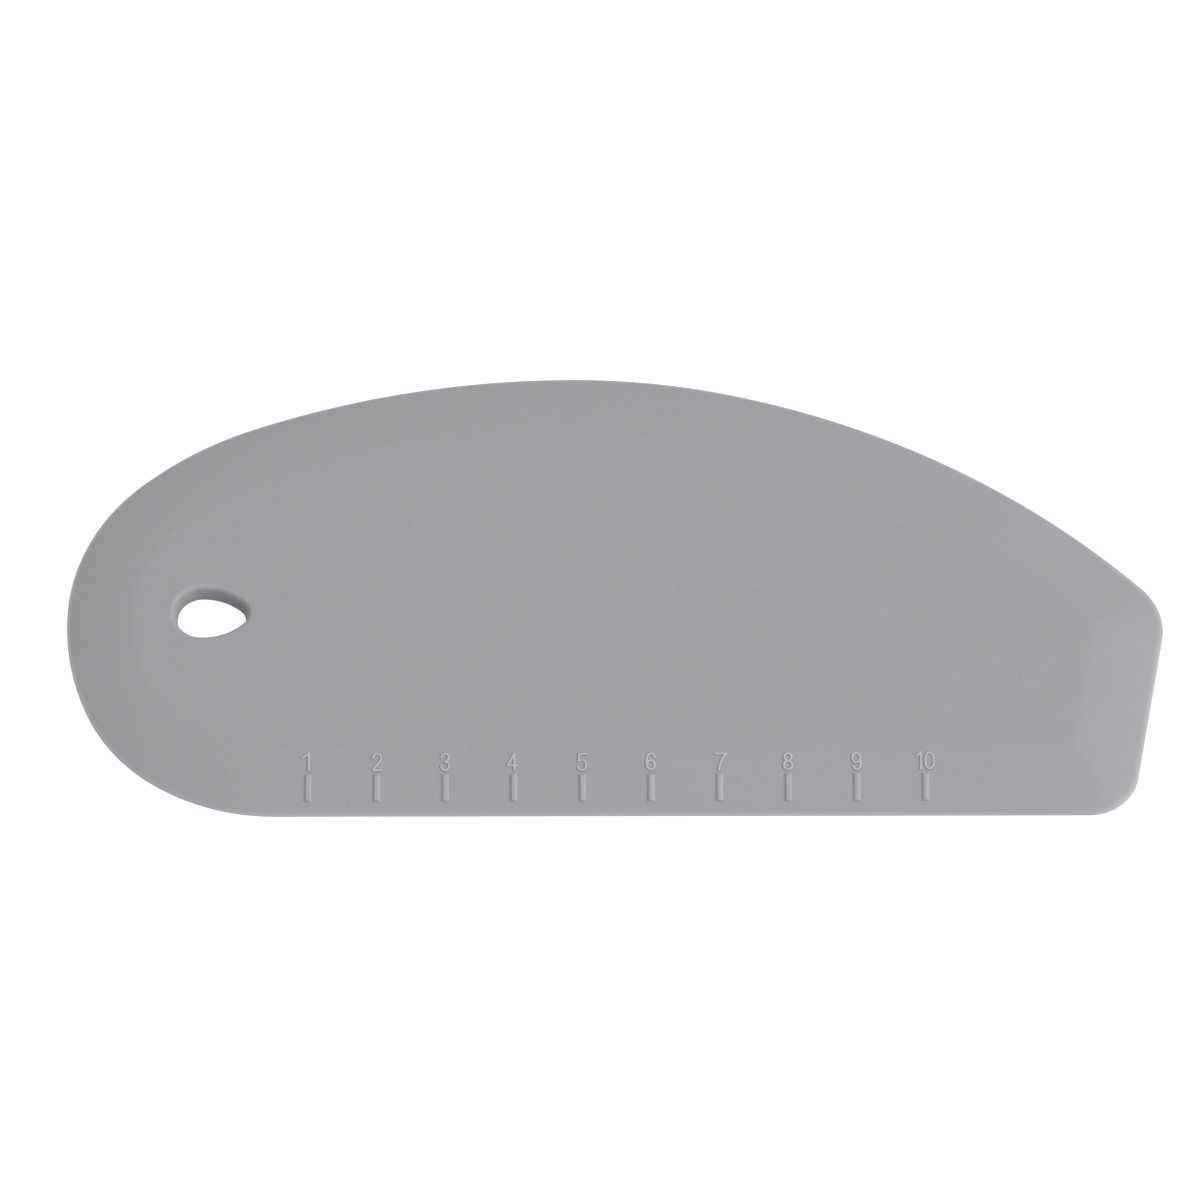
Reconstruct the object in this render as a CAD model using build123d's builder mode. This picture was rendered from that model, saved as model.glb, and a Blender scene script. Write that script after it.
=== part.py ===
from build123d import *
import os
from math import atan, cos, radians, sin, tan

os.makedirs("parts", exist_ok=True)

# Bowl scraper: a soft silicone jacket, moulded in one piece round a stiff hidden plate.
# It lies on its flat back with the scale up. X runs along the straight scraping edge and Y
# from that edge to the curved back, and the origin is under the middle of the blade.
# The heel is the round end with the hanging eye, and the toe is the slanted end.

# Blade outline: tangent arcs run clockwise from the heel end of the straight edge to the toe,
# and the last one is drawn past the toe and trimmed
straight_edge_length = 124.9
heel_entry_radius = 32.6
heel_entry_angle = 33.3
heel_low_radius = 26.9
heel_low_angle = 32.3
heel_end_radius = 38.2
heel_end_angle = 27.4
heel_high_radius = 30.5
heel_high_angle = 45.7
back_entry_radius = 53.4
back_entry_angle = 20.7
back_near_radius = 135.4
back_near_angle = 20.8
back_top_radius = 101.9
back_top_angle = 12.6
back_far_radius = 125.9
back_far_angle = 70.0

# Toe: one straight side that leans out, with a tight corner below and a wider one above,
# and nearly sharp corners where the bevels meet inside
toe_lean_angle = 10.1
toe_low_radius = 7.4
toe_high_radius = 9.9
mitre_radius = 0.8

# Section of the blade: a thin rim, a crowned bevel all round and a soft shoulder
blade_thickness = 2.8
rim_thickness = 0.5
rim_radius = 0.2
bevel_width = 9.3
bevel_crown = 0.24
shoulder_width = 1.5

# Hanging eye: an egg that points along the blade. It widens upwards by the mould's draft, and
# its upper edge is well rounded
eye_from_heel = 11.09
eye_from_edge = 32.98
eye_blunt_radius = 3.64
eye_blunt_angle = 89.2
eye_flank_radius = 8.56
eye_flank_angle = 41.7
eye_draft_angle = 11.3
eye_foot_radius = 0.15
eye_edge_radius = 0.8

# Stiff plate: it fills the flat middle and stops short of the shoulder and of the eye
core_thickness = 1.2
core_setback = 0.8
core_corner_radius = 3.0
eye_wall = 2.2
lock_hole_diameter = 5.0
lock_hole_pitch = 15.0
lock_hole_margin = 5.0

# Centimetre scale in relief on the bevel of the straight edge: a raised bar for each tick
# with its numeral above it, both rooted below the bevel's surface
scale_last_number = 10
scale_pitch = 10.0
first_tick_from_heel = 4.78
tick_from_rim = 1.88
tick_length = 4.06
tick_width = 1.28
tick_flank_angle = 46.0
tick_relief = 0.36
numeral_from_rim = 6.3
numeral_height = 2.9
numeral_width = 1.64
numeral_stroke = 0.42
numeral_spacing = 1.26
numeral_relief = 0.16
relief_root = 0.2

# Centre lines of the numerals, as shares of the width and height that they fill. Each stroke
# has its points, and one rounding for all its corners as a share of the width
numeral_shares = {
    "0": [([(0, 0), (0, 1), (1, 1), (1, 0), (0, 0)], 0.48)],
    "1": [([(-0.3, 0.76), (0.5, 1)], 0), ([(0.5, 1), (0.5, 0)], 0)],
    "2": [([(0, 0.76), (0, 1), (1, 1), (1, 0.6), (0, 0)], 0.46), ([(0, 0), (1, 0)], 0)],
    "3": [
        ([(0, 0.76), (0, 1), (1, 1), (1, 0.54), (0.4, 0.54)], 0.46),
        ([(0.4, 0.54), (1, 0.54), (1, 0), (0, 0), (0, 0.24)], 0.46),
    ],
    "4": [([(0.6, 0), (0.6, 1)], 0), ([(0.6, 1), (-0.2, 0.3)], 0), ([(-0.25, 0.3), (1, 0.3)], 0)],
    "5": [
        ([(0.9, 1), (0.15, 1)], 0),
        ([(0.15, 1), (0.05, 0.56)], 0),
        ([(0.05, 0.6), (1, 0.6), (1, 0), (0, 0), (0, 0.24)], 0.46),
    ],
    "6": [
        ([(1, 0.76), (1, 1), (0, 1), (0, 0.3)], 0.46),
        ([(0, 0), (0, 0.6), (1, 0.6), (1, 0), (0, 0)], 0.46),
    ],
    "7": [([(-0.1, 1), (1.1, 1)], 0), ([(1.1, 1), (0.55, 0.55), (0.35, 0)], 0.9)],
    "8": [
        ([(0.05, 0.54), (0.05, 1), (0.95, 1), (0.95, 0.54), (0.05, 0.54)], 0.4),
        ([(0, 0), (0, 0.54), (1, 0.54), (1, 0), (0, 0)], 0.46),
    ],
    "9": [
        ([(0, 0.24), (0, 0), (1, 0), (1, 0.7)], 0.46),
        ([(0, 0.4), (0, 1), (1, 1), (1, 0.4), (0, 0.4)], 0.46),
    ],
}

# The bevel and the shoulder are shallow parabolas that share one slope where they meet, and
# the shoulder runs out level
bevel_gradient = (
    blade_thickness - rim_thickness + 2 * bevel_crown * shoulder_width / bevel_width
) / (bevel_width + shoulder_width / 2)
plateau_inset = bevel_width + shoulder_width
shoulder_rise = blade_thickness - rim_thickness - bevel_gradient * bevel_width


def face_height(inset):
    """Height of the upper face above the flat back, at a distance in from the rim."""
    if inset <= bevel_width:
        share = inset / bevel_width
        return rim_thickness + bevel_gradient * inset + 4 * bevel_crown * share * (1 - share)
    left_share = (plateau_inset - inset) / shoulder_width
    return blade_thickness - shoulder_rise * left_share**2


def draw_blade(inset, low_radius, high_radius):
    """Outline of the blade, drawn in from its rim, with the heel end of the edge as zero."""
    curved_edge = [
        (heel_entry_radius, heel_entry_angle),
        (heel_low_radius, heel_low_angle),
        (heel_end_radius, heel_end_angle),
        (heel_high_radius, heel_high_angle),
        (back_entry_radius, back_entry_angle),
        (back_near_radius, back_near_angle),
        (back_top_radius, back_top_angle),
        (back_far_radius, back_far_angle),
    ]
    toe_outward = (cos(radians(toe_lean_angle)), -sin(radians(toe_lean_angle)), 0)
    toe_side = Plane(origin=(straight_edge_length, 0, 0), z_dir=toe_outward)
    with BuildSketch() as blade:
        with BuildLine():
            end, heading = (0, 0), (-1, 0)
            for radius, angle in curved_edge:
                arc = JernArc(end, heading, radius, -angle)
                end, heading = arc @ 1, arc % 1
            Line(end, (0, 0))
        make_face()
        split(bisect_by=Plane.XZ, keep=Keep.BOTTOM)
        split(bisect_by=toe_side, keep=Keep.BOTTOM)
        if inset > 0:
            offset(amount=-inset, kind=Kind.INTERSECTION)
        fillet(blade.vertices().sort_by(Axis.X)[-2:].sort_by(Axis.Y)[0], low_radius)
        fillet(blade.vertices().sort_by(Axis.X)[-1], high_radius)
    return blade.sketch


def draw_eye(margin):
    """Foot of the hanging eye, grown by a margin, with the heel end of the edge as zero."""
    blunt_turn = radians(eye_blunt_angle)
    whole_turn = radians(eye_blunt_angle + eye_flank_angle)
    point_angle = 180 - eye_blunt_angle - eye_flank_angle
    radius_excess = (eye_flank_radius - eye_blunt_radius) * sin(blunt_turn) / sin(whole_turn)
    with BuildSketch() as eye:
        with BuildLine():
            blunt_end = (-eye_from_heel - eye_blunt_radius, eye_from_edge)
            blunt = JernArc(blunt_end, (0, 1), eye_blunt_radius, -eye_blunt_angle)
            flank = JernArc(blunt @ 1, blunt % 1, eye_flank_radius, -eye_flank_angle)
            JernArc(flank @ 1, flank % 1, eye_flank_radius - radius_excess, -point_angle)
            mirror(about=Plane.XZ.offset(-eye_from_edge))
        make_face()
        if margin > 0:
            offset(amount=margin)
    return eye.sketch


blade_box = draw_blade(0, toe_low_radius, toe_high_radius).bounding_box()
blade_centre = blade_box.center()


def level(height):
    """A drawing plane at a height above the flat back, its zero at the heel end of the edge."""
    return Plane(origin=(-blade_centre.X, -blade_centre.Y, height))


def blade_section(inset, height):
    """Cross-section of the blade at a height, its toe corners tightening as it draws in."""
    low_radius = max(toe_low_radius - inset, mitre_radius)
    high_radius = max(toe_high_radius - inset, mitre_radius)
    return level(height) * draw_blade(inset, low_radius, high_radius)


# Stiffener core: a flat plate with lock holes, wherever a whole hole of a square grid fits
core_inset = plateau_inset + core_setback
core_bottom = (blade_thickness - core_thickness) / 2
hole_columns = 2 * int(blade_box.size.X / 2 // lock_hole_pitch) + 1
hole_rows = 2 * int(blade_box.size.Y / 2 // lock_hole_pitch) + 1
hole_area = draw_blade(core_inset + lock_hole_margin, mitre_radius, mitre_radius).face()
eye_area = draw_eye(eye_wall + lock_hole_margin).face()
hole_grid = [
    blade_centre + place.position
    for place in GridLocations(lock_hole_pitch, lock_hole_pitch, hole_columns, hole_rows)
]
lock_holes = [
    hole for hole in hole_grid if hole_area.is_inside(hole) and not eye_area.is_inside(hole)
]

with BuildPart() as stiffener_core:
    with BuildSketch(level(core_bottom)):
        add(draw_blade(core_inset, core_corner_radius, core_corner_radius))
        add(draw_eye(eye_wall), mode=Mode.SUBTRACT)
        with Locations(*lock_holes):
            Circle(lock_hole_diameter / 2, mode=Mode.SUBTRACT)
    extrude(amount=core_thickness)
stiffener_core.part.label = "stiffener_core"


def scale_plane(inset, length):
    """A drawing plane that lies along the bevel, from a distance in from the rim."""
    reach = length * cos(atan(bevel_gradient))
    slope = atan((face_height(inset + reach) - face_height(inset)) / reach)
    return Plane(
        origin=(-blade_centre.X, inset - blade_centre.Y, face_height(inset)),
        x_dir=(1, 0, 0),
        z_dir=(0, -sin(slope), cos(slope)),
    )


# The scale stops at its last number, or at the last whole tick before the toe's bevel
scale_room = straight_edge_length - plateau_inset - first_tick_from_heel
scale_count = min(scale_last_number, int(scale_room // scale_pitch) + 1)
ticks = [first_tick_from_heel + number * scale_pitch for number in range(scale_count)]
tick_spread = 2 * relief_root * tan(radians(tick_flank_angle))
stroke_width = numeral_width - numeral_stroke
stroke_height = numeral_height - numeral_stroke


def draw_numeral(digit, centre):
    """One numeral of the scale, in strokes of even width."""
    for shares, rounding_share in numeral_shares[digit]:
        points = [
            (centre + (across - 1 / 2) * stroke_width, numeral_stroke / 2 + up * stroke_height)
            for across, up in shares
        ]
        with BuildLine() as stroke:
            if len(points) == 2:
                Line(*points)
            else:
                FilletPolyline(*points, radius=rounding_share * stroke_width)
        trace(stroke.line, line_width=numeral_stroke)


# Silicone body: rim, crowned bevel and shoulder, then the eye, the scale and the core's cavity
with BuildPart() as silicone_body:
    loft(sections=[blade_section(0, 0), blade_section(0, rim_thickness)])
    for start, stop in ((0, bevel_width), (bevel_width, plateau_inset)):
        insets = (start, (start + stop) / 2, stop)
        loft(sections=[blade_section(inset, face_height(inset)) for inset in insets])

    # From below, the edges go round the back, up the wall and then round the rim
    rim_edges = silicone_body.edges().group_by(Axis.Z)[2]
    fillet(rim_edges, rim_radius)

    with BuildSketch(level(0)):
        add(draw_eye(0))
    extrude(amount=blade_thickness, taper=-eye_draft_angle, mode=Mode.SUBTRACT)
    for side, radius in ((0, eye_foot_radius), (-1, eye_edge_radius)):
        flat_face = silicone_body.faces().filter_by(Axis.Z).sort_by(Axis.Z)[side]
        fillet(flat_face.inner_wires()[0].edges(), radius)

    with BuildSketch(scale_plane(tick_from_rim, tick_length).offset(-relief_root)):
        with Locations(*[(tick, tick_length / 2) for tick in ticks]):
            Rectangle(tick_width + tick_spread, tick_length + tick_spread)
    extrude(amount=relief_root + tick_relief, taper=tick_flank_angle)

    for number, tick in enumerate(ticks, 1):
        first_place = -(len(str(number)) - 1) / 2
        with BuildSketch(scale_plane(numeral_from_rim, numeral_height).offset(-relief_root)):
            for place, digit in enumerate(str(number)):
                draw_numeral(digit, tick + (first_place + place) * numeral_spacing)
        extrude(amount=relief_root + numeral_relief)

    add(stiffener_core.part, mode=Mode.SUBTRACT)
silicone_body.part.label = "silicone_body"

export_step(stiffener_core.part, "parts/stiffener_core.step")
export_step(silicone_body.part, "parts/silicone_body.step")
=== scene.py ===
import math

import bmesh
import bpy
from mathutils import Matrix, Vector


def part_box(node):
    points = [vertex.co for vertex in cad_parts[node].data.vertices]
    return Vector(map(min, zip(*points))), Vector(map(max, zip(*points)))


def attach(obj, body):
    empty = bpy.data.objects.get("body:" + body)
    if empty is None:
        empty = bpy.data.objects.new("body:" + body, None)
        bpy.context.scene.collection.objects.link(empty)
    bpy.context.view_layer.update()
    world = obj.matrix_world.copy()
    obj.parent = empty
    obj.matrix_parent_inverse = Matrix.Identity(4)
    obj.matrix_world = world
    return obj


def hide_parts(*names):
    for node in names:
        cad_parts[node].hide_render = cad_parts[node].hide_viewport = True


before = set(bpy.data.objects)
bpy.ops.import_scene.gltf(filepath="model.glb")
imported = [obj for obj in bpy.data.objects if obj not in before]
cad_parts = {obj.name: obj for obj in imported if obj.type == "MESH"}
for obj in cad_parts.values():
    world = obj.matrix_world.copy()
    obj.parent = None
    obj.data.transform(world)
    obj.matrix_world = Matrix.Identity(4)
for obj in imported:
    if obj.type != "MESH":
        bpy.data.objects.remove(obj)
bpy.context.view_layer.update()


# Silicone body: one soft moulding of grey silicone round a stiff plate. The mould forms the flat
# back, the thin rim, the crowned bevels, the flat middle, the hanging eye and the raised scale.
# It is drawn in millimetres from the heel end of the straight edge.
MM = 0.001

# The outline runs clockwise: each arc's radius, the degrees that it turns, and its steps
straight_edge_length = 124.9
heel_and_back_arcs = [
    (32.6, 33.3, 16),
    (26.9, 32.3, 16),
    (38.2, 27.4, 14),
    (30.5, 45.7, 22),
    (53.4, 20.7, 16),
    (135.4, 20.8, 30),
    (101.9, 12.6, 16),
]
back_far_radius = 125.9
back_far_steps = 30
toe_lean = math.radians(10.1)
toe_high_radius = 9.9
toe_high_steps = 12
toe_low_radius = 7.4
toe_low_steps = 16
mitre_radius = 0.8

# The section, from the rim inwards
blade_thickness = 2.8
rim_thickness = 0.5
rim_top_radius = 0.2
rim_foot_radius = 0.06
bevel_width = 9.3
bevel_crown = 0.24
shoulder_width = 1.5
flat_border = 0.4

plateau_inset = bevel_width + shoulder_width
bevel_gradient = (
    blade_thickness - rim_thickness + 2 * bevel_crown * shoulder_width / bevel_width
) / (bevel_width + shoulder_width / 2)
shoulder_rise = blade_thickness - rim_thickness - bevel_gradient * bevel_width


def face_height(inset):
    """Height of the upper face above the back: a crowned bevel, then a shoulder that runs level."""
    if inset <= bevel_width:
        share = inset / bevel_width
        return rim_thickness + bevel_gradient * inset + 4 * bevel_crown * share * (1 - share)
    left_share = max(plateau_inset - inset, 0) / shoulder_width
    return blade_thickness - shoulder_rise * left_share**2


def join(mesh, part):
    """Adds a part that was drawn in a mesh of its own, and frees that mesh."""
    carrier = bpy.data.meshes.new("part")
    part.to_mesh(carrier)
    part.free()
    mesh.from_mesh(carrier)
    bpy.data.meshes.remove(carrier)


def draw_loop(mesh, start, heading, moves):
    """Draws one closed loop clockwise, by moves: a radius or run, the degrees turned, and steps."""
    line = bmesh.new()
    first = tip = line.verts.new(start)
    heading = Vector(heading)
    for size, degrees, steps in moves:
        angle = -math.radians(degrees)
        centre = tip.co + size * Vector((heading.y, -heading.x, 0))
        stride = heading * size / steps if degrees == 0 else (0, 0, 0)
        spun = bmesh.ops.spin(
            line, geom=[tip], cent=centre, axis=(0, 0, 1), dvec=stride, angle=angle, steps=steps
        )
        tip = next(part for part in spun["geom_last"] if isinstance(part, bmesh.types.BMVert))
        heading = Matrix.Rotation(angle, 3, "Z") @ heading
    bmesh.ops.pointmerge(line, verts=[first, tip], merge_co=first.co)
    older = len(mesh.edges)
    join(mesh, line)
    mesh.edges.ensure_lookup_table()
    return mesh.edges[older:]


def draw_blade(mesh, inset, height):
    """Draws the blade's outline at a height, drawn in from its rim."""
    tip, heading = Vector((0, inset, height)), Vector((-1, 0, 0))
    moves, turned = [], 0
    for radius, degrees, steps in heel_and_back_arcs:
        moves.append((radius - inset, degrees, steps))
        turn = Matrix.Rotation(-math.radians(degrees), 3, "Z")
        centre = tip + (radius - inset) * Vector((heading.y, -heading.x, 0))
        tip, heading = centre + turn @ (tip - centre), turn @ heading
        turned += degrees

    # The toe's corners are circles that touch the far arc, the toe's side and the straight edge
    far_radius = back_far_radius - inset
    high_radius = max(toe_high_radius - inset, mitre_radius)
    low_radius = max(toe_low_radius - inset, mitre_radius)
    far_centre = tip + far_radius * Vector((heading.y, -heading.x, 0))
    toe_out = Vector((math.cos(toe_lean), -math.sin(toe_lean), 0))
    toe_up = Vector((math.sin(toe_lean), math.cos(toe_lean), 0))
    toe_foot = Vector((straight_edge_length, 0, height))
    high_centre = toe_foot - toe_out * (inset + high_radius)
    along = (high_centre - far_centre).dot(toe_up)
    beside = (high_centre - far_centre).length_squared - along**2
    high_centre += toe_up * (math.sqrt((far_radius - high_radius) ** 2 - beside) - along)
    low_centre = toe_foot - toe_out * (inset + low_radius)
    low_centre += toe_up * (inset + low_radius - low_centre.y) / toe_up.y
    touch = high_centre - far_centre
    touch_degrees = math.degrees(math.atan2(touch.y, touch.x))
    lean_degrees = math.degrees(toe_lean)
    moves += [
        (far_radius, 270 - touch_degrees - turned, back_far_steps),
        (high_radius, touch_degrees + lean_degrees, toe_high_steps),
        ((high_centre - low_centre).dot(toe_up), 0, 1),
        (low_radius, 90 - lean_degrees, toe_low_steps),
        (low_centre.x, 0, 1),
    ]
    return draw_loop(mesh, (0, inset, height), (-1, 0, 0), moves)


def bridge_rings(mesh, rings):
    """Bridges each ring to the next, the level pairs at the ends first so that they don't twist."""
    pairs = list(zip(rings, rings[1:]))
    for lower, upper in [pairs[0], pairs[-1], *pairs[1:-1]]:
        bmesh.ops.bridge_loops(mesh, edges=lower + upper)


# The rings of the outside, from the back up the rim and over the bevel to the flat middle. Those
# on the bevel gather towards the rim
rim_foot_steps = 3
rim_top_steps = 5
bevel_steps = 14
bevel_gathering = 1.5
shoulder_steps = 8
rim_slope = math.atan(bevel_gradient + 4 * bevel_crown / bevel_width)
rim_run = rim_top_radius * math.tan((math.pi / 2 - rim_slope) / 2)
blade_rings = [(rim_foot_radius + flat_border, 0)]
for step in range(rim_foot_steps + 1):
    lift = math.pi / 2 * step / rim_foot_steps
    inset = rim_foot_radius * (1 - math.sin(lift))
    blade_rings.append((inset, rim_foot_radius * (1 - math.cos(lift))))
for step in range(rim_top_steps + 1):
    lift = (math.pi / 2 - rim_slope) * step / rim_top_steps
    inset = rim_top_radius * (1 - math.cos(lift))
    blade_rings.append((inset, rim_thickness - rim_run + rim_top_radius * math.sin(lift)))
for step in range(1, bevel_steps + 1):
    inset = bevel_width * (step / bevel_steps) ** bevel_gathering
    blade_rings.append((inset, face_height(inset)))
for step in range(1, shoulder_steps + 1):
    inset = bevel_width + shoulder_width * step / shoulder_steps
    blade_rings.append((inset, face_height(inset)))
blade_rings.append((plateau_inset + flat_border, blade_thickness))

body = bmesh.new()
paleness = body.verts.layers.float.new("paleness")
blade_loops = [draw_blade(body, inset, height) for inset, height in blade_rings]
bridge_rings(body, blade_loops)

# How much paler the skin is painted than the plain grey, as a share. The thin rim's face is painted
# pale, a painted glow for light that reaches it through the thin rim, and the skin just inside the
# rim is painted paler, a painted highlight, most on the curved edge that goes round bowls and
# widest on the toe
rim_face_paleness = 0.76
rim_face_width = 0.11
rim_painted_light = 0.1
rim_painted_light_width = 0.5
curve_painted_highlight = 0.3
curve_highlight_from_edge = 3.0
curve_highlight_fade = 12.0
toe_highlight_width = 0.25
toe_highlight_from_heel = 118.7
toe_highlight_fade = 5.0
for loop_edges, (inset, height) in zip(blade_loops, blade_rings):
    for edge in loop_edges:
        for corner in edge.verts:
            from_edge = corner.co.y - inset
            curve_share = min(max((from_edge - curve_highlight_from_edge) / curve_highlight_fade, 0), 1)
            toe_share = min(max((corner.co.x - toe_highlight_from_heel) / toe_highlight_fade, 0), 1)
            painted_light = rim_painted_light + curve_painted_highlight * max(curve_share, toe_share)
            painted_light_width = rim_painted_light_width + toe_highlight_width * toe_share
            # Painted glow on the rim's face and painted highlight just inside the rim
            corner[paleness] = max(
                rim_face_paleness * (1 - inset / rim_face_width),
                painted_light * (1 - inset / painted_light_width),
                0,
            )

# The hanging eye is an egg, blunt towards the heel. Its wall has the draft of the mould, and its
# upper edge is well rounded
eye_from_heel = 11.09
eye_from_edge = 32.98
eye_blunt_radius = 3.64
eye_blunt_degrees = 89.2
eye_blunt_steps = 16
eye_flank_radius = 8.56
eye_flank_degrees = 41.7
eye_flank_steps = 14
eye_point_steps = 14
eye_draft = math.radians(11.3)
eye_foot_radius = 0.15
eye_edge_radius = 0.8
eye_point_radius = eye_flank_radius - (eye_flank_radius - eye_blunt_radius) * math.sin(
    math.radians(eye_blunt_degrees)
) / math.sin(math.radians(eye_blunt_degrees + eye_flank_degrees))
eye_point_degrees = 360 - 2 * eye_blunt_degrees - 2 * eye_flank_degrees


def draw_eye(mesh, margin, height):
    """Draws the eye's egg at a height, grown by a margin."""
    blunt = (eye_blunt_radius + margin, eye_blunt_degrees, eye_blunt_steps)
    flank = (eye_flank_radius + margin, eye_flank_degrees, eye_flank_steps)
    point = (eye_point_radius + margin, eye_point_degrees, eye_point_steps)
    start = (-eye_from_heel - eye_blunt_radius - margin, eye_from_edge, height)
    return draw_loop(mesh, start, (0, 1, 0), [blunt, flank, point, flank, blunt])


# The rings of its wall, from the back round the foot, up the draft and over the upper edge
eye_foot_steps = 4
eye_edge_steps = 8
eye_rings = [(eye_foot_radius + flat_border, 0)]
for step in range(eye_foot_steps + 1):
    lift = (math.pi / 2 + eye_draft) * step / eye_foot_steps
    margin = eye_foot_radius * (1 - math.sin(lift))
    eye_rings.append((margin, eye_foot_radius * (1 - math.cos(lift))))
foot_top_margin, foot_top = eye_rings[-1]
edge_foot = blade_thickness - eye_edge_radius * (1 - math.sin(eye_draft))
edge_centre_margin = foot_top_margin + (edge_foot - foot_top) * math.tan(eye_draft)
edge_centre_margin += eye_edge_radius * math.cos(eye_draft)
for step in range(eye_edge_steps + 1):
    lift = eye_draft + (math.pi / 2 - eye_draft) * step / eye_edge_steps
    margin = edge_centre_margin - eye_edge_radius * math.cos(lift)
    eye_rings.append((margin, blade_thickness - eye_edge_radius * (1 - math.sin(lift))))
eye_rings.append((edge_centre_margin + flat_border, blade_thickness))
eye_loops = [draw_eye(body, margin, height) for margin, height in eye_rings]
bridge_rings(body, eye_loops)

# Its rounded edge is painted a little paler, a painted highlight, and its foot is painted darker, a
# painted shade deep in the hole
eye_edge_painted_highlight = 0.06
eye_foot_painted_shade = -0.16
for loop_edges, (margin, height) in zip(eye_loops, eye_rings):
    for edge in loop_edges:
        for corner in edge.verts:
            if edge_foot < height and margin < edge_centre_margin:
                corner[paleness] = eye_edge_painted_highlight
            elif height <= foot_top and margin <= eye_foot_radius:
                corner[paleness] = eye_foot_painted_shade

for border in (blade_loops[0] + eye_loops[0], blade_loops[-1] + eye_loops[-1]):
    bmesh.ops.triangle_fill(body, use_beauty=True, edges=border)
bmesh.ops.recalc_face_normals(body, faces=body.faces)
blade_low = Vector([min(corner.co[axis] for corner in body.verts) for axis in range(3)])

# The scale: ten moulded bars a centimetre apart, each a ridge with sloping flanks. Relief is
# rooted under the bevel, and its top and its foot each get their own painted light and shade
scale_pitch = 10.0
first_tick_from_heel = 4.78
tick_count = 10
tick_from_rim = 1.88
tick_length = 4.14
tick_width = 1.2
tick_relief = 0.36
tick_side_flank = 0.37
tick_end_flank = 0.12
tick_softness = 0.05
relief_root = 0.2
relief_foot_height = 0.1
# The bars are painted paler on top and paler still at the foot: a painted highlight for the flank
# that faces the light
tick_paleness = 0.1
tick_foot_paleness = 0.26


def on_bevel(across, inset, length):
    """Places a piece of relief on the bevel, from an inset over a length."""
    reach = length * math.cos(math.atan(bevel_gradient))
    slope = math.atan((face_height(inset + reach) - face_height(inset)) / reach)
    place = Matrix.Translation((across, inset, face_height(inset)))
    return place @ Matrix.Rotation(slope, 4, "X")


def add_relief(place, draw, painted_light, foot_painted_shading):
    """Draws relief flat and lays it on the body, with the painted light and shade of its top and of
    its foot.
    """
    relief = bmesh.new()
    draw(relief)
    bmesh.ops.recalc_face_normals(relief, faces=relief.faces)
    bmesh.ops.transform(relief, matrix=place, verts=relief.verts)
    older = len(body.verts)
    join(body, relief)
    body.verts.ensure_lookup_table()
    above = place.inverted()
    for corner in body.verts[older:]:
        corner[paleness] = painted_light if (above @ corner.co).z > relief_foot_height else foot_painted_shading


def draw_tick(mesh):
    """A bar with sloping flanks and softened edges, rooted under the bevel."""
    depth = relief_root + tick_relief
    root_share = relief_root / tick_relief
    foot = Vector(
        (
            tick_width + 2 * tick_side_flank * root_share,
            tick_length + 2 * tick_end_flank * root_share,
            depth,
        )
    )
    crest = Vector((tick_width - 2 * tick_side_flank, tick_length - 2 * tick_end_flank, depth))
    bmesh.ops.create_cube(mesh, size=1)
    bmesh.ops.scale(mesh, vec=foot, verts=mesh.verts)
    top = [corner for corner in mesh.verts if corner.co.z > 0]
    bmesh.ops.scale(mesh, vec=(crest.x / foot.x, crest.y / foot.y, 1), verts=top)
    upper_edges = [edge for edge in mesh.edges if max(corner.co.z for corner in edge.verts) > 0]
    bmesh.ops.bevel(
        mesh,
        geom=upper_edges,
        affect="EDGES",
        offset=tick_softness,
        segments=3,
        profile=0.5,
        material=-1,
    )
    bmesh.ops.translate(mesh, vec=(0, tick_length / 2, foot.z / 2 - relief_root), verts=mesh.verts)


ticks = [first_tick_from_heel + number * scale_pitch for number in range(tick_count)]
for tick in ticks:
    place = on_bevel(tick, tick_from_rim, tick_length)
    add_relief(place, draw_tick, tick_paleness, tick_foot_paleness)

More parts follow.
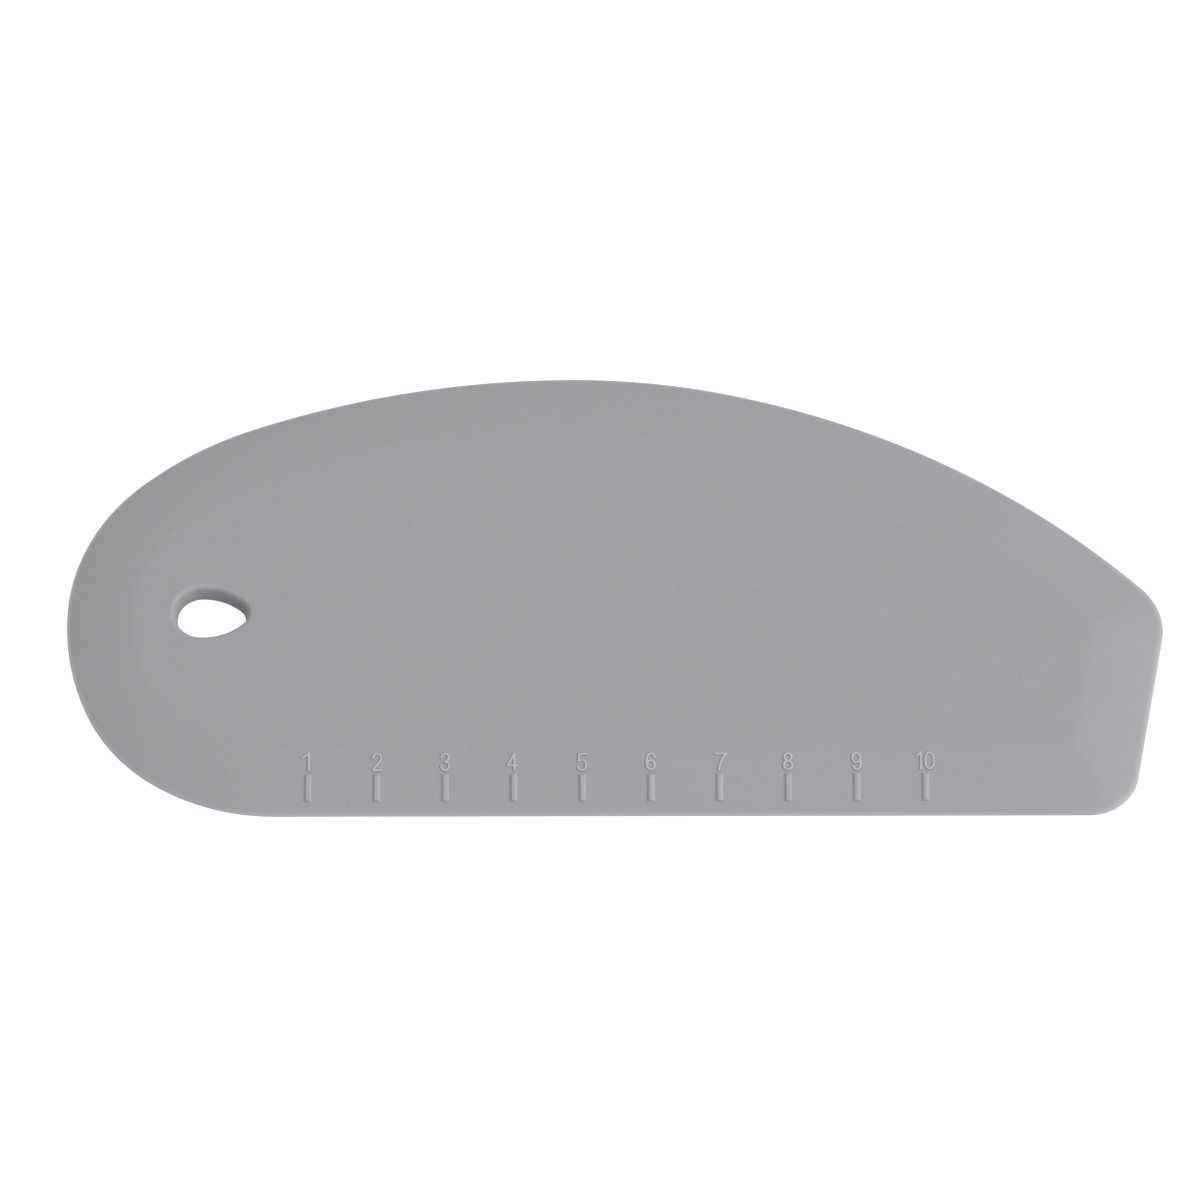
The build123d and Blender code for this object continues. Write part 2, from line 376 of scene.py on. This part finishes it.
# The numerals: narrow figures in round-topped strokes. Each stroke is an open curve, a closed
# loop or straight, through points in millimetres from the middle of the tick and the foot of the
# figure
numeral_from_rim = 6.49
numeral_height = 2.5
numeral_stroke = 0.48
stem_stroke = 0.54
numeral_flatness = 0.68
# The figures are painted paler on top, a painted highlight, and darker at the foot, a painted shade
# in the crease round each stroke
numeral_paleness = 0.36
numeral_foot_paleness = -0.25
figures = {
    1: [
        ("straight", stem_stroke, [(0.13, 0.05), (0.13, 2.47)]),
        ("straight", numeral_stroke, [(-0.79, 1.96), (0.03, 2.49)]),
    ],
    2: [
        (
            "curve",
            numeral_stroke,
            [
                (-0.53, 1.96), (-0.39, 2.35), (0.08, 2.52), (0.57, 2.27), (0.65, 1.77),
                (0.45, 1.28), (0.05, 0.8), (-0.33, 0.37), (-0.49, 0.02),
            ],
        ),
        ("straight", numeral_stroke, [(-0.49, 0.0), (0.71, 0.0)]),
    ],
    3: [
        (
            "curve",
            numeral_stroke,
            [
                (-0.53, 1.94), (-0.37, 2.35), (0.0, 2.51), (0.43, 2.31), (0.51, 1.85),
                (0.33, 1.48), (-0.05, 1.32),
            ],
        ),
        (
            "curve",
            numeral_stroke,
            [
                (-0.05, 1.32), (0.41, 1.15), (0.59, 0.7), (0.43, 0.21), (0.0, 0.0),
                (-0.39, 0.16), (-0.57, 0.52),
            ],
        ),
    ],
    4: [
        ("straight", numeral_stroke, [(0.1, 0.06), (0.1, 2.57)]),
        ("straight", numeral_stroke, [(0.07, 2.55), (-0.85, 0.74)]),
        ("straight", numeral_stroke, [(-0.85, 0.72), (0.53, 0.72)]),
    ],
    5: [
        ("straight", numeral_stroke, [(0.51, 2.49), (-0.41, 2.45)]),
        ("straight", numeral_stroke, [(-0.43, 2.45), (-0.57, 1.44)]),
        (
            "curve",
            numeral_stroke,
            [
                (-0.57, 1.4), (-0.07, 1.57), (0.41, 1.34), (0.55, 0.84), (0.41, 0.25),
                (-0.01, 0.02), (-0.43, 0.14), (-0.67, 0.47),
            ],
        ),
    ],
    6: [
        (
            "curve",
            numeral_stroke,
            [
                (0.54, 2.02), (0.38, 2.39), (0.04, 2.55), (-0.36, 2.33), (-0.58, 1.79),
                (-0.62, 1.09),
            ],
        ),
        (
            "loop",
            numeral_stroke,
            [
                (-0.62, 0.8), (-0.36, 1.34), (0.0, 1.46), (0.4, 1.28), (0.56, 0.78),
                (0.38, 0.25), (-0.02, 0.06), (-0.42, 0.27),
            ],
        ),
    ],
    7: [
        ("straight", numeral_stroke, [(-0.56, 2.52), (1.02, 2.52)]),
        ("curve", numeral_stroke, [(1.02, 2.5), (0.46, 1.7), (0.1, 0.87), (-0.08, 0.07)]),
    ],
    8: [
        (
            "loop",
            numeral_stroke,
            [
                (-0.52, 1.93), (-0.36, 2.36), (0.0, 2.52), (0.38, 2.36), (0.52, 1.93),
                (0.36, 1.53), (0.0, 1.37), (-0.36, 1.53),
            ],
        ),
        (
            "loop",
            numeral_stroke,
            [
                (-0.6, 0.71), (-0.4, 1.2), (0.0, 1.37), (0.42, 1.2), (0.6, 0.71), (0.42, 0.22),
                (0.0, 0.03), (-0.42, 0.22),
            ],
        ),
    ],
    9: [
        (
            "loop",
            numeral_stroke,
            [
                (0.52, 1.78), (0.3, 1.27), (-0.06, 1.12), (-0.46, 1.31), (-0.62, 1.8),
                (-0.46, 2.34), (-0.04, 2.52), (0.36, 2.34),
            ],
        ),
        (
            "curve",
            numeral_stroke,
            [
                (0.52, 1.88), (0.6, 1.16), (0.5, 0.46), (0.34, 0.17), (0.04, 0.03),
                (-0.3, 0.17), (-0.5, 0.55),
            ],
        ),
    ],
    10: [
        ("straight", numeral_stroke, [(-0.62, 0.14), (-0.62, 2.61)]),
        ("straight", numeral_stroke, [(-1.2, 2.12), (-0.66, 2.59)]),
        (
            "loop",
            numeral_stroke,
            [
                (0.04, 1.4), (0.22, 2.32), (0.64, 2.63), (1.06, 2.32), (1.24, 1.4),
                (1.06, 0.45), (0.64, 0.14), (0.22, 0.45),
            ],
        ),
    ],
}


def draw_figure(mesh, strokes):
    """A figure in flattened round strokes, sunk so that half of each stands out of the bevel."""
    for form, width, points in strokes:
        centres = [Vector((across, up, 0)) for across, up in points]
        line = bpy.data.curves.new("stroke", "CURVE")
        line.dimensions = "3D"
        line.bevel_depth = width / 2
        line.bevel_resolution = 4
        line.resolution_u = 5
        line.use_fill_caps = True
        spline = line.splines.new("BEZIER")
        spline.bezier_points.add(len(centres) - 1)
        spline.use_cyclic_u = form == "loop"
        handles = "VECTOR" if form == "straight" else "AUTO"
        for knot, centre in zip(spline.bezier_points, centres):
            knot.co = centre
            knot.handle_left_type = knot.handle_right_type = handles
        holder = bpy.data.objects.new("stroke", line)
        swept = bpy.data.meshes.new_from_object(holder)
        mesh.from_mesh(swept)
        bpy.data.objects.remove(holder)
        bpy.data.curves.remove(line)
        bpy.data.meshes.remove(swept)
        if form != "loop":
            for end in (centres[0], centres[-1]):
                bmesh.ops.create_uvsphere(
                    mesh,
                    u_segments=12,
                    v_segments=8,
                    radius=width / 2,
                    matrix=Matrix.Translation(end),
                )
    bmesh.ops.remove_doubles(mesh, verts=mesh.verts, dist=0.001)
    bmesh.ops.scale(mesh, vec=(1, 1, numeral_flatness), verts=mesh.verts)


for number, tick in enumerate(ticks, 1):
    place = on_bevel(tick, numeral_from_rim, numeral_height)
    add_relief(
        place,
        lambda mesh: draw_figure(mesh, figures[number]),
        numeral_paleness,
        numeral_foot_paleness,
    )

# The moulding is brought to metres and laid where the CAD solid lies
crease_angle = math.radians(50)
cad_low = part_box("silicone_body")[0]
bmesh.ops.translate(body, vec=-blade_low, verts=body.verts)
bmesh.ops.scale(body, vec=(MM, MM, MM), verts=body.verts)
bmesh.ops.translate(body, vec=cad_low, verts=body.verts)
body_mesh = bpy.data.meshes.new("silicone_body")
body.to_mesh(body_mesh)
body.free()
body_mesh.shade_smooth()
body_mesh.set_sharp_from_angle(angle=crease_angle)
silicone_body = bpy.data.objects.new("moulded_body", body_mesh)
level_faces = silicone_body.modifiers.new("level_faces", "WEIGHTED_NORMAL")
level_faces.keep_sharp = True
bpy.context.scene.collection.objects.link(silicone_body)
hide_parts("silicone_body")
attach(silicone_body, "root")


def linear(colour):
    """An sRGB hex colour in the linear values that a shader takes."""
    channels = [int(colour[start : start + 2], 16) / 255 for start in (1, 3, 5)]
    return [c / 12.92 if c <= 0.04045 else ((c + 0.055) / 1.055) ** 2.4 for c in channels] + [1]


def add_node(tree, kind, settings, links):
    """Adds a node, sets its properties and inputs, and links its inputs to other outputs."""
    node = tree.nodes.new(kind)
    for name, value in settings.items():
        if isinstance(name, str) and hasattr(node, name):
            setattr(node, name, value)
        else:
            node.inputs[name].default_value = value
    for name, output in links.items():
        tree.links.new(output, node.inputs[name])
    return node


# Moulded silicone rubber, through-coloured grey, from a spark-eroded mould: a soft dull sheen with
# faint clouds and mottling, and small dark and light specks of trapped dust and bubbles. The real
# spark grain is some 0.05 mm, too fine to show, and is drawn four times as coarse. The skin is
# painted paler or darker where its attribute says so: painted light and shade on the rim, the eye
# and the raised scale
mottle_size = 0.8
cloud_size = 12
grain_size = 0.22
grain_depth = 0.012
silicone = bpy.data.materials.new("moulded_grey_silicone")
silicone.use_nodes = True
tree = silicone.node_tree
tree.nodes.clear()
place = add_node(tree, "ShaderNodeTexCoord", {}, {}).outputs["Object"]
mottle = add_node(
    tree,
    "ShaderNodeTexNoise",
    {"Scale": 1 / (mottle_size * MM), "Detail": 3, "Roughness": 0.6},
    {"Vector": place},
)
skin = add_node(tree, "ShaderNodeValToRGB", {}, {"Fac": mottle.outputs["Fac"]})
for position, colour in ((0.3, "#9FA0A3"), (0.68, "#9D9EA1"), (0.8, "#8F9093")):
    skin.color_ramp.elements.new(position).color = linear(colour)
skin.color_ramp.elements[0].position = 0.2
skin.color_ramp.elements[0].color = linear("#ABACAF")
skin.color_ramp.elements.remove(skin.color_ramp.elements[-1])
cloud = add_node(
    tree,
    "ShaderNodeTexNoise",
    {"Scale": 1 / (cloud_size * MM), "Detail": 4, "Roughness": 0.6},
    {"Vector": place},
)
cloudiness = add_node(
    tree,
    "ShaderNodeMapRange",
    {"From Min": 0.3, "From Max": 0.7, "To Min": 0.985, "To Max": 1.015},
    {"Value": cloud.outputs["Fac"]},
)
# Painted light and shade: the attribute makes the grey paler or darker on the rim, the eye and the
# raised scale
painted_light_and_shade = add_node(tree, "ShaderNodeAttribute", {"attribute_name": "paleness"}, {})
gain = add_node(
    tree,
    "ShaderNodeMath",
    {"operation": "MULTIPLY_ADD"},
    {0: painted_light_and_shade.outputs["Fac"], 1: cloudiness.outputs["Result"], 2: cloudiness.outputs["Result"]},
)
pale = add_node(
    tree,
    "ShaderNodeVectorMath",
    {"operation": "SCALE"},
    {0: skin.outputs["Color"], "Scale": gain.outputs["Value"]},
)
grain = add_node(
    tree,
    "ShaderNodeTexNoise",
    {"Scale": 1 / (grain_size * MM), "Detail": 2},
    {"Vector": place},
)
bump = add_node(
    tree,
    "ShaderNodeBump",
    {"Strength": 0.35, "Distance": grain_depth * MM},
    {"Height": grain.outputs["Fac"]},
)
dullness = add_node(
    tree,
    "ShaderNodeMapRange",
    {"To Min": 0.56, "To Max": 0.66},
    {"Value": cloud.outputs["Fac"]},
)
shader = add_node(
    tree,
    "ShaderNodeBsdfPrincipled",
    {"IOR": 1.41, "Metallic": 0},
    {
        "Base Color": pale.outputs["Vector"],
        "Roughness": dullness.outputs["Result"],
        "Normal": bump.outputs["Normal"],
    },
)
add_node(tree, "ShaderNodeOutputMaterial", {}, {"Surface": shader.outputs["BSDF"]})
body_mesh.materials.append(silicone)


# Stiffener core: a flat moulded plate of natural nylon with round lock holes, sealed inside the
# silicone. Its CAD node has the right shape and stays. The nylon is milky, with faint flow marks
# and the mould's fine grain.
flow_size = 6
nylon_grain_size = 0.3
nylon_grain_depth = 0.01
nylon = bpy.data.materials.new("moulded_natural_nylon")
nylon.use_nodes = True
tree = nylon.node_tree
tree.nodes.clear()
place = add_node(tree, "ShaderNodeTexCoord", {}, {}).outputs["Object"]
flow = add_node(
    tree,
    "ShaderNodeTexNoise",
    {"Scale": 1 / (flow_size * MM), "Detail": 3},
    {"Vector": place},
)
tone = add_node(tree, "ShaderNodeValToRGB", {}, {"Fac": flow.outputs["Fac"]})
tone.color_ramp.elements[0].color = linear("#D9D6CB")
tone.color_ramp.elements[1].color = linear("#E2DFD5")
grain = add_node(
    tree,
    "ShaderNodeTexNoise",
    {"Scale": 1 / (nylon_grain_size * MM), "Detail": 2},
    {"Vector": place},
)
bump = add_node(
    tree,
    "ShaderNodeBump",
    {"Strength": 0.2, "Distance": nylon_grain_depth * MM},
    {"Height": grain.outputs["Fac"]},
)
shader = add_node(
    tree,
    "ShaderNodeBsdfPrincipled",
    {"IOR": 1.53, "Roughness": 0.45},
    {"Base Color": tone.outputs["Color"], "Normal": bump.outputs["Normal"]},
)
add_node(tree, "ShaderNodeOutputMaterial", {}, {"Surface": shader.outputs["BSDF"]})
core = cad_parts["stiffener_core"]
core.data.materials.clear()
core.data.materials.append(nylon)


# Studio: a white sweep under the scraper, a white surround, and one large soft light from the
# right that stands a little in front, so the left bevels fall into soft shade. What the camera
# sees of the sweep and the surround is white, and what they light with is plainer
def add_sight(tree):
    """Adds nodes that give 1 to camera, glossy and transmission rays, and 0 to the rest."""
    ray = add_node(tree, "ShaderNodeLightPath", {}, {})
    mirrored = add_node(
        tree,
        "ShaderNodeMath",
        {"operation": "MAXIMUM"},
        {0: ray.outputs["Is Glossy Ray"], 1: ray.outputs["Is Transmission Ray"]},
    )
    sight = add_node(
        tree,
        "ShaderNodeMath",
        {"operation": "MAXIMUM"},
        {0: ray.outputs["Is Camera Ray"], 1: mirrored.outputs["Value"]},
    )
    return sight.outputs["Value"]


floor_size = 4.0
floor_gap = 0.01 * MM
floor = bmesh.new()
bmesh.ops.create_grid(floor, x_segments=1, y_segments=1, size=floor_size / 2)
bmesh.ops.translate(floor, vec=(0, 0, -floor_gap), verts=floor.verts)
floor_mesh = bpy.data.meshes.new("studio_floor")
floor.to_mesh(floor_mesh)
floor.free()
studio_floor = bpy.data.objects.new("studio_floor", floor_mesh)
bpy.context.scene.collection.objects.link(studio_floor)

paper = bpy.data.materials.new("white_paper")
paper.use_nodes = True
tree = paper.node_tree
tree.nodes.clear()
matt = add_node(tree, "ShaderNodeBsdfDiffuse", {"Color": linear("#ACACAC")}, {})
seen = add_node(tree, "ShaderNodeEmission", {"Color": linear("#FFFFFF"), "Strength": 0.8}, {})
lit = add_node(
    tree, "ShaderNodeAddShader", {}, {0: matt.outputs["BSDF"], 1: seen.outputs["Emission"]}
)
sheet = add_node(
    tree,
    "ShaderNodeMixShader",
    {},
    {"Fac": add_sight(tree), 1: matt.outputs["BSDF"], 2: lit.outputs["Shader"]},
)
add_node(tree, "ShaderNodeOutputMaterial", {}, {"Surface": sheet.outputs["Shader"]})
floor_mesh.materials.append(paper)

world = bpy.data.worlds.new("white_surround")
world.use_nodes = True
bpy.context.scene.world = world
tree = world.node_tree
tree.nodes.clear()
strength = add_node(
    tree,
    "ShaderNodeMapRange",
    {"To Min": 0.555, "To Max": 1.0},
    {"Value": add_sight(tree)},
)
surround = add_node(
    tree,
    "ShaderNodeBackground",
    {"Color": linear("#FFFFFF")},
    {"Strength": strength.outputs["Result"]},
)
add_node(tree, "ShaderNodeOutputWorld", {}, {"Surface": surround.outputs["Background"]})

key_distance = 2.0
key_size = 1.5
key_elevation = math.radians(47)
key_azimuth = math.radians(-17)
key_power = 26.3
key = bpy.data.lights.new("soft_key", "AREA")
key.shape = "DISK"
key.size = key_size
key.energy = key_power
soft_key = bpy.data.objects.new("soft_key", key)
key_direction = Vector(
    (
        math.cos(key_elevation) * math.cos(key_azimuth),
        math.cos(key_elevation) * math.sin(key_azimuth),
        math.sin(key_elevation),
    )
)
soft_key.location = key_direction * key_distance
soft_key.rotation_euler = key_direction.to_track_quat("Z", "Y").to_euler()
bpy.context.scene.collection.objects.link(soft_key)


# Camera: a long lens nearly 60 degrees above the table, straight in front of the straight edge,
# so the scraper lies across the frame with hardly any perspective
camera_elevation = math.radians(59.7)
camera_roll = math.radians(-0.10)
camera_distance = 1.5
camera_aim = Vector((-2.19 * MM, -0.66 * MM, 0))
focal_length = 305.15
sensor_width = 36
lens = bpy.data.cameras.new("camera")
lens.lens = focal_length
lens.sensor_width = sensor_width
camera = bpy.data.objects.new("camera", lens)
away = Vector((0, -math.cos(camera_elevation), math.sin(camera_elevation)))
tilt = Matrix.Rotation(math.pi / 2 - camera_elevation, 4, "X")
tilt = tilt @ Matrix.Rotation(camera_roll, 4, "Z")
camera.matrix_world = Matrix.Translation(camera_aim + away * camera_distance) @ tilt
bpy.context.scene.collection.objects.link(camera)
bpy.context.scene.camera = camera
bpy.context.scene.view_settings.view_transform = "Standard"
